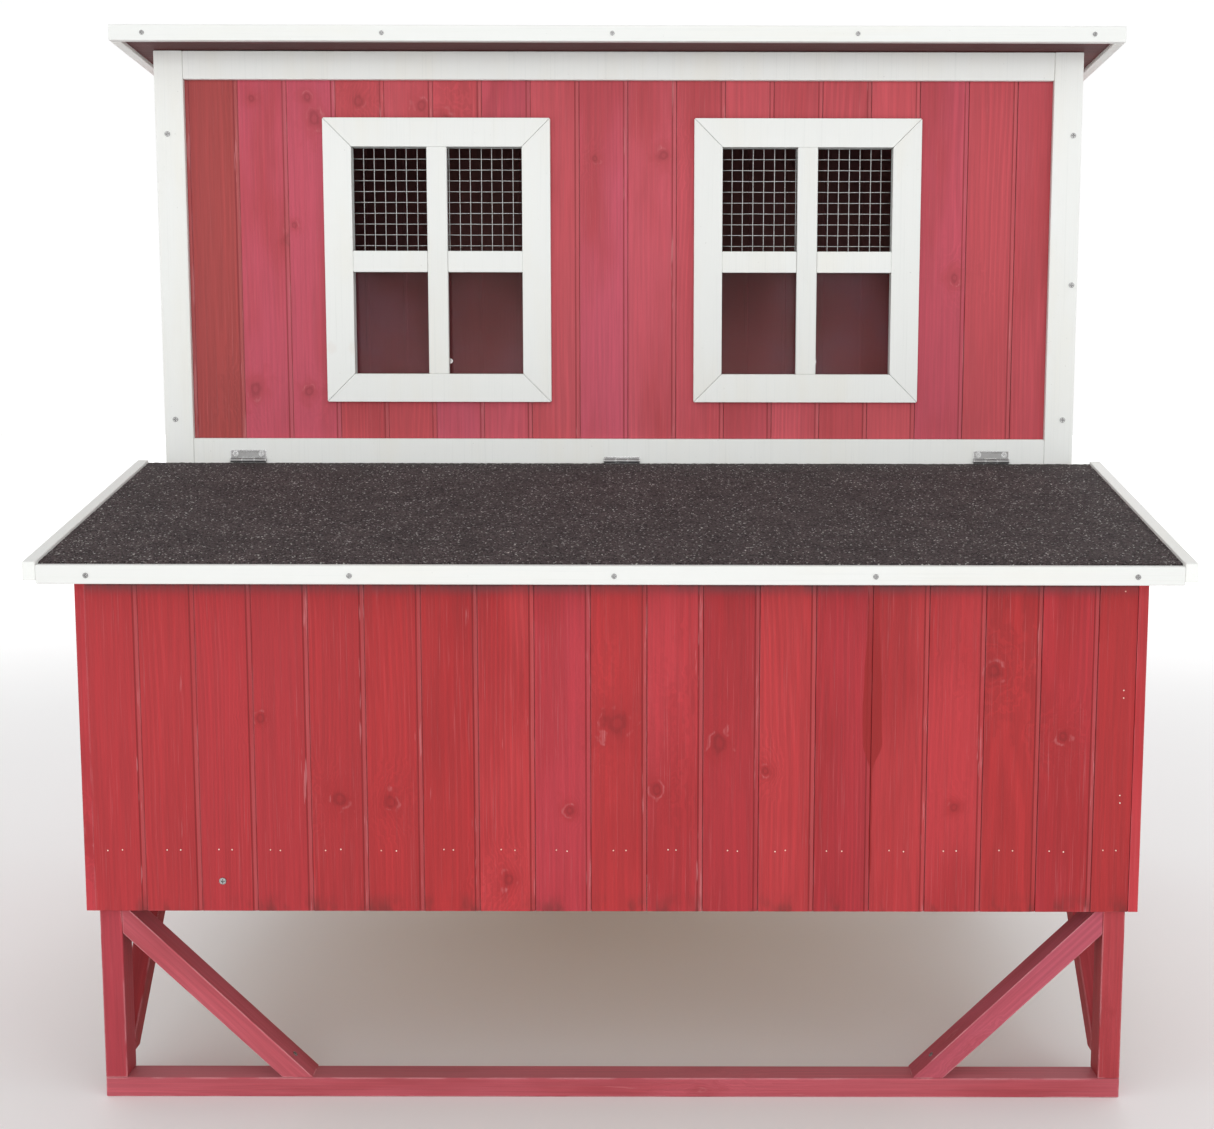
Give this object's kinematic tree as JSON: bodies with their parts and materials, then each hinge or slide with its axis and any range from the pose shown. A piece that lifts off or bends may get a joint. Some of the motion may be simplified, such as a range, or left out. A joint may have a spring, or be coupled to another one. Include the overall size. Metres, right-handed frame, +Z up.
{
  "type": "chicken coop",
  "caption": "Raised red timber chicken coop with white trim, barred barn windows, a full-width nest box under a hinged felt lid, cleaning door, tray, pop hole and ramp.",
  "frame": {"origin": "on the ground, under the middle of the whole coop with its ramp down", "axes": "+Z up, +X to the right when facing the nest box, +Y from the nest box towards the ramp"},
  "size_m": [1.157, 1.3795, 1.1496],
  "materials": {
    "red_timber": "red glazed softwood boards, satin, with grain and knots",
    "white_timber": "white painted softwood, satin",
    "bare_timber": "bare planed softwood and plywood",
    "felt": "black mineral-grained bitumen roofing felt",
    "zinc": "zinc-plated steel",
    "acrylic": "clear acrylic sheet with a light haze"
  },
  "bodies": {
    "root": {"front_bottom_rail": "red_timber", "rear_bottom_rail": "red_timber", "front_legs": "red_timber", "rear_legs": "red_timber", "front_braces": "red_timber", "rear_braces": "red_timber", "side_braces": "red_timber", "floor_bearers": "bare_timber", "nest_floor": "bare_timber", "cabin_floor": "bare_timber", "nest_front_boards": "red_timber", "nest_side_boards": "red_timber", "nest_batten": "bare_timber", "nest_dividers": "bare_timber", "nest_lip": "bare_timber", "window_wall_boards": "red_timber", "window_wall_trim": "white_timber", "window_frames": "white_timber", "window_muntins": "white_timber", "window_mesh": "zinc", "window_panes": "acrylic", "pane_screws": "zinc", "cabin_frame": "red_timber", "left_wall_boards": "red_timber", "left_wall_trim": "white_timber", "right_wall_boards": "red_timber", "right_wall_trim": "white_timber", "back_wall_boards": "red_timber", "back_wall_trim": "white_timber", "pop_door_guides": "white_timber", "landing_ledge": "white_timber", "roof_panel": "red_timber", "roof_felt": "felt", "roof_front_fascia": "white_timber", "roof_side_fascias": "white_timber", "roost_bars": "bare_timber", "roost_brackets": "bare_timber", "tray_runners": "bare_timber", "frame_screws": "zinc", "hinge_fixed_leaves": "zinc", "hinge_pins": "zinc", "bolt_keeper": "zinc"},
    "lid": {"lid_panel": "bare_timber", "lid_felt": "felt", "lid_front_fascia": "white_timber", "lid_side_strips": "white_timber", "lid_hinge_leaves": "zinc", "lid_screws": "zinc"},
    "door": {"door_boards": "red_timber", "door_frame": "white_timber", "door_hinge_leaves": "zinc", "bolt_plate": "zinc"},
    "bolt": {"bolt_rod": "zinc"},
    "pop_door": {"pop_door_panel": "red_timber", "pop_door_grip": "white_timber"},
    "ramp": {"ramp_plank": "red_timber", "ramp_cleats": "white_timber", "ramp_hinge_leaves": "zinc"},
    "tray": {"dropping_tray": "zinc", "tray_front": "white_timber"}
  },
  "joints": [
    {"name": "lid_hinge", "type": "hinge", "parent": "root", "child": "lid", "pos_m": [0, -0.29301, 0.6515], "axis": [-1, 0, 0], "range_deg": [0, 98]},
    {"name": "door_hinge", "type": "hinge", "parent": "root", "child": "door", "pos_m": [0.5476, 0.21139, 0.64], "axis": [0, 0, 1], "range_deg": [0, 150]},
    {"name": "bolt_slide", "type": "slide", "parent": "door", "child": "bolt", "axis": [0, -1, 0], "range_m": [0, 0.024]},
    {"name": "pop_door_slide", "type": "slide", "parent": "root", "child": "pop_door", "axis": [0, 0, 1], "range_m": [0, 0.26]},
    {"name": "ramp_hinge", "type": "hinge", "parent": "root", "child": "ramp", "pos_m": [0.0107, 0.34059, 0.2645], "axis": [1, 0, 0], "range_deg": [0, 124]},
    {"name": "tray_slide", "type": "slide", "parent": "root", "child": "tray", "axis": [-1, 0, 0], "range_m": [0, 0.6]}
  ]
}
